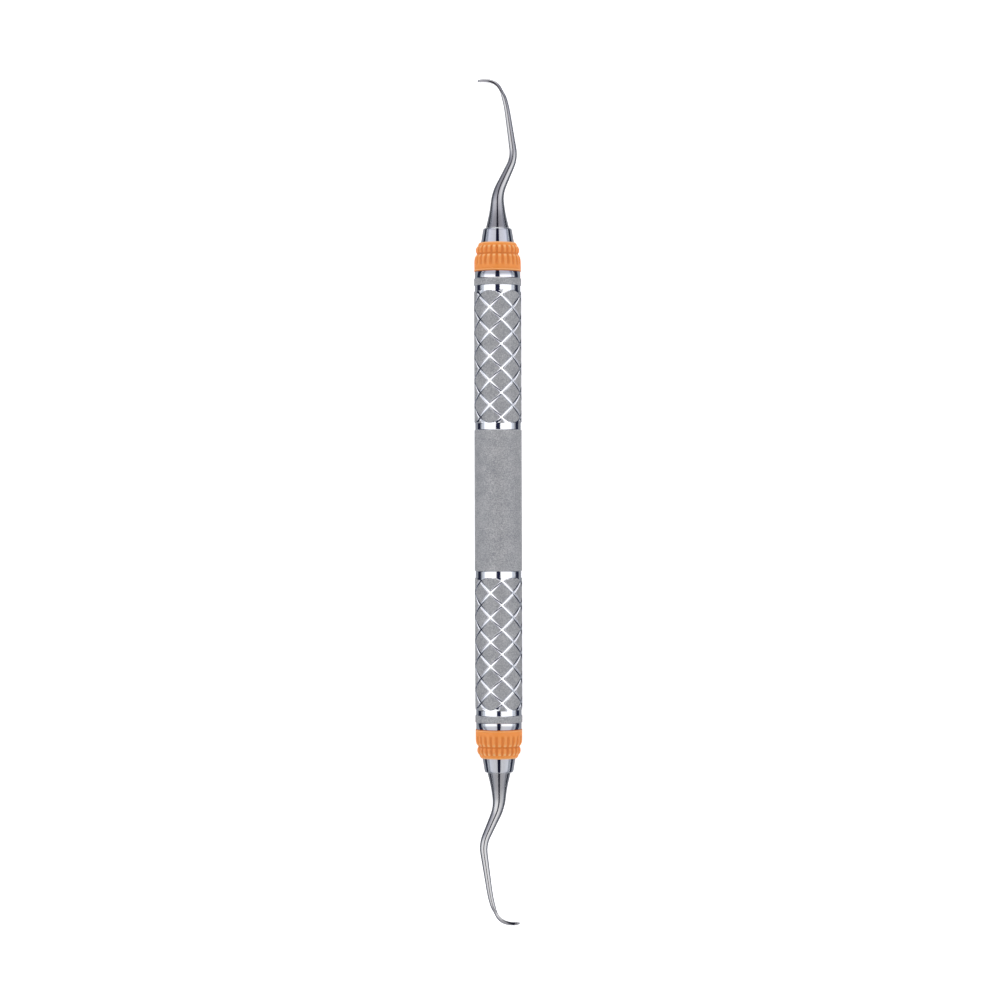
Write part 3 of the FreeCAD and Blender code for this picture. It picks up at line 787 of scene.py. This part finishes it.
def add_glow(shader, colour, strength):
    """Light that a stage surface gives off by itself."""
    shader.inputs["Emission Color"].default_value = (*colour, 1)
    shader.inputs["Emission Strength"].default_value = strength


def hide_from(piece, *rays):
    """Keep a stage piece out of some kinds of rays."""
    for ray in rays:
        setattr(piece, "visible_" + ray, False)


def make_floor():
    """White floor that the instrument lies on."""
    bpy.ops.mesh.primitive_plane_add(size=6, location=(0, 0, 0))
    floor = bpy.context.object
    floor.name = "floor"
    material, shader = new_material("floor_white", 0.0, 0.8, (0.92, 0.92, 0.92))
    add_glow(shader, (1, 1, 1), 0.6)
    floor.data.materials.append(material)


def make_cards():
    """Reflector cards beside the instrument, seen by its gloss alone."""
    for side in (-1, 1):
        for low, high, glow in CARDS:
            card = bpy.data.meshes.new("card")
            x = sorted((side * low * MM, side * high * MM))
            corners = [(x[0], -CARD_REACH, CARD_HEIGHT), (x[1], -CARD_REACH, CARD_HEIGHT),
                       (x[1], CARD_REACH, CARD_HEIGHT), (x[0], CARD_REACH, CARD_HEIGHT)]
            card.from_pydata(corners, [], [(0, 1, 2, 3)])
            piece = bpy.data.objects.new("card_%d_%d" % (side, low), card)
            bpy.context.scene.collection.objects.link(piece)
            material, shader = new_material("card", 0.0, 0.5, (0, 0, 0))
            shader.inputs["Specular IOR Level"].default_value = 0
            add_glow(shader, glow, 1.0)
            card.materials.append(material)
            hide_from(piece, "camera", "diffuse", "shadow", "transmission")


def make_backdrop():
    """White backdrop that only the camera sees."""
    bpy.ops.mesh.primitive_uv_sphere_add(radius=2.5, segments=32, ring_count=16)
    backdrop = bpy.context.object
    backdrop.name = "backdrop"
    material, shader = new_material("backdrop_white", 0.0, 0.8, (0, 0, 0))
    shader.inputs["Specular IOR Level"].default_value = 0
    add_glow(shader, (1, 1, 1), 1.0)
    backdrop.data.materials.append(material)
    hide_from(backdrop, "diffuse", "glossy", "shadow", "transmission")


def add_mix(world, blend, first, second):
    """Two colours blended in full."""
    mix = add_node(world, "ShaderNodeMix", data_type="RGBA", blend_type=blend)
    mix.inputs["Factor"].default_value = 1.0
    link(world, first, mix.inputs["A"])
    link(world, second, mix.inputs["B"])
    return mix.outputs["Result"]


def make_light():
    """Light tent: bright walls left and right of a dark slot overhead, dimmer towards the ends.

    It is bright again straight beyond the upper end.
    """
    world = bpy.data.worlds.new("tent")
    bpy.context.scene.world = world
    world.use_nodes = True
    place = add_node(world, "ShaderNodeTexCoord")
    split = add_node(world, "ShaderNodeSeparateXYZ")
    link(world, place.outputs["Generated"], split.inputs["Vector"])
    sideways = add_node(world, "ShaderNodeMath", operation="ABSOLUTE")
    link(world, split.outputs["X"], sideways.inputs[0])
    tilt = add_node(world, "ShaderNodeMath", operation="ARCTAN2")
    link(world, sideways.outputs[0], tilt.inputs[0])
    link(world, split.outputs["Z"], tilt.inputs[1])
    share = add_node(world, "ShaderNodeMapRange")
    share.inputs["From Max"].default_value = math.pi
    link(world, tilt.outputs[0], share.inputs["Value"])
    walls = add_ramp(world, share.outputs["Result"],
                     [(0.0, (0.012, 0.014, 0.035)), (0.058, (0.012, 0.014, 0.035)),
                      (0.068, (0.9, 0.9, 0.92)), (0.16, (1, 1, 1)), (0.38, (0.93, 0.95, 1)),
                      (0.43, (0.44, 0.46, 0.5)), (0.5, (0.37, 0.4, 0.46)),
                      (0.6, (0.32, 0.34, 0.4))])
    lengthways = add_node(world, "ShaderNodeMapRange")
    lengthways.inputs["From Min"].default_value = -1
    link(world, split.outputs["Y"], lengthways.inputs["Value"])
    ends = add_ramp(world, lengthways.outputs["Result"],
                    [(0.0, (0.4, 0.4, 0.42)), (0.3, (0.45, 0.45, 0.47)), (0.4, (0.9, 0.9, 0.9)),
                     (0.5, (1, 1, 1)), (0.6, (0.93, 0.93, 0.93)), (0.67, (0.6, 0.6, 0.65)),
                     (0.75, (0.34, 0.34, 0.38)), (0.85, (0.34, 0.34, 0.38)),
                     (0.92, (0.85, 0.85, 0.87)), (1.0, (1, 1, 1))])
    tent = add_mix(world, "MULTIPLY", walls, ends)
    far_end = add_ramp(world, lengthways.outputs["Result"],
                       [(0.0, (0, 0, 0)), (0.91, (0, 0, 0)), (0.93, (0.8, 0.8, 0.82))])
    background = world.node_tree.nodes["Background"]
    link(world, add_mix(world, "LIGHTEN", tent, far_end), background.inputs["Color"])
    background.inputs["Strength"].default_value = 1.7


CAMERA_DISTANCE = 0.6                               # above the axis of the handle
WIDTH_SEEN = 0.2013                                 # across the view, at that distance
SENSOR_WIDTH = 36                                   # mm
CAMERA_ASIDE = 0.35 * MM
CAMERA_ALONG = 0.08 * MM
CAMERA_TURN = math.radians(-0.17)


def make_camera():
    """Camera straight above the middle of the handle, turned a little about its own axis."""
    data = bpy.data.cameras.new("camera")
    data.sensor_width = SENSOR_WIDTH
    data.lens = SENSOR_WIDTH * CAMERA_DISTANCE / WIDTH_SEEN
    camera = bpy.data.objects.new("camera", data)
    bpy.context.scene.collection.objects.link(camera)
    camera.location = (CAMERA_ASIDE, CAMERA_ALONG, AXIS_HEIGHT + CAMERA_DISTANCE)
    camera.rotation_euler = Euler((0, 0, CAMERA_TURN))
    data.clip_start, data.clip_end = 0.01, 20
    bpy.context.scene.camera = camera


make_handle()
for end, depth_sign in (("upper", 1), ("lower", -1)):
    make_colour_ring(end)
    make_cone(end)
    make_tip(end, depth_sign)
    for node, material in ((end + "_socket_bush", TURNED), (end + "_seal", RUBBER)):
        cad_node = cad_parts[node]
        cad_node.data.materials.clear()
        cad_node.data.materials.append(material)
make_floor()
make_cards()
make_backdrop()
make_light()
make_camera()
bpy.context.scene.view_settings.view_transform = "Standard"
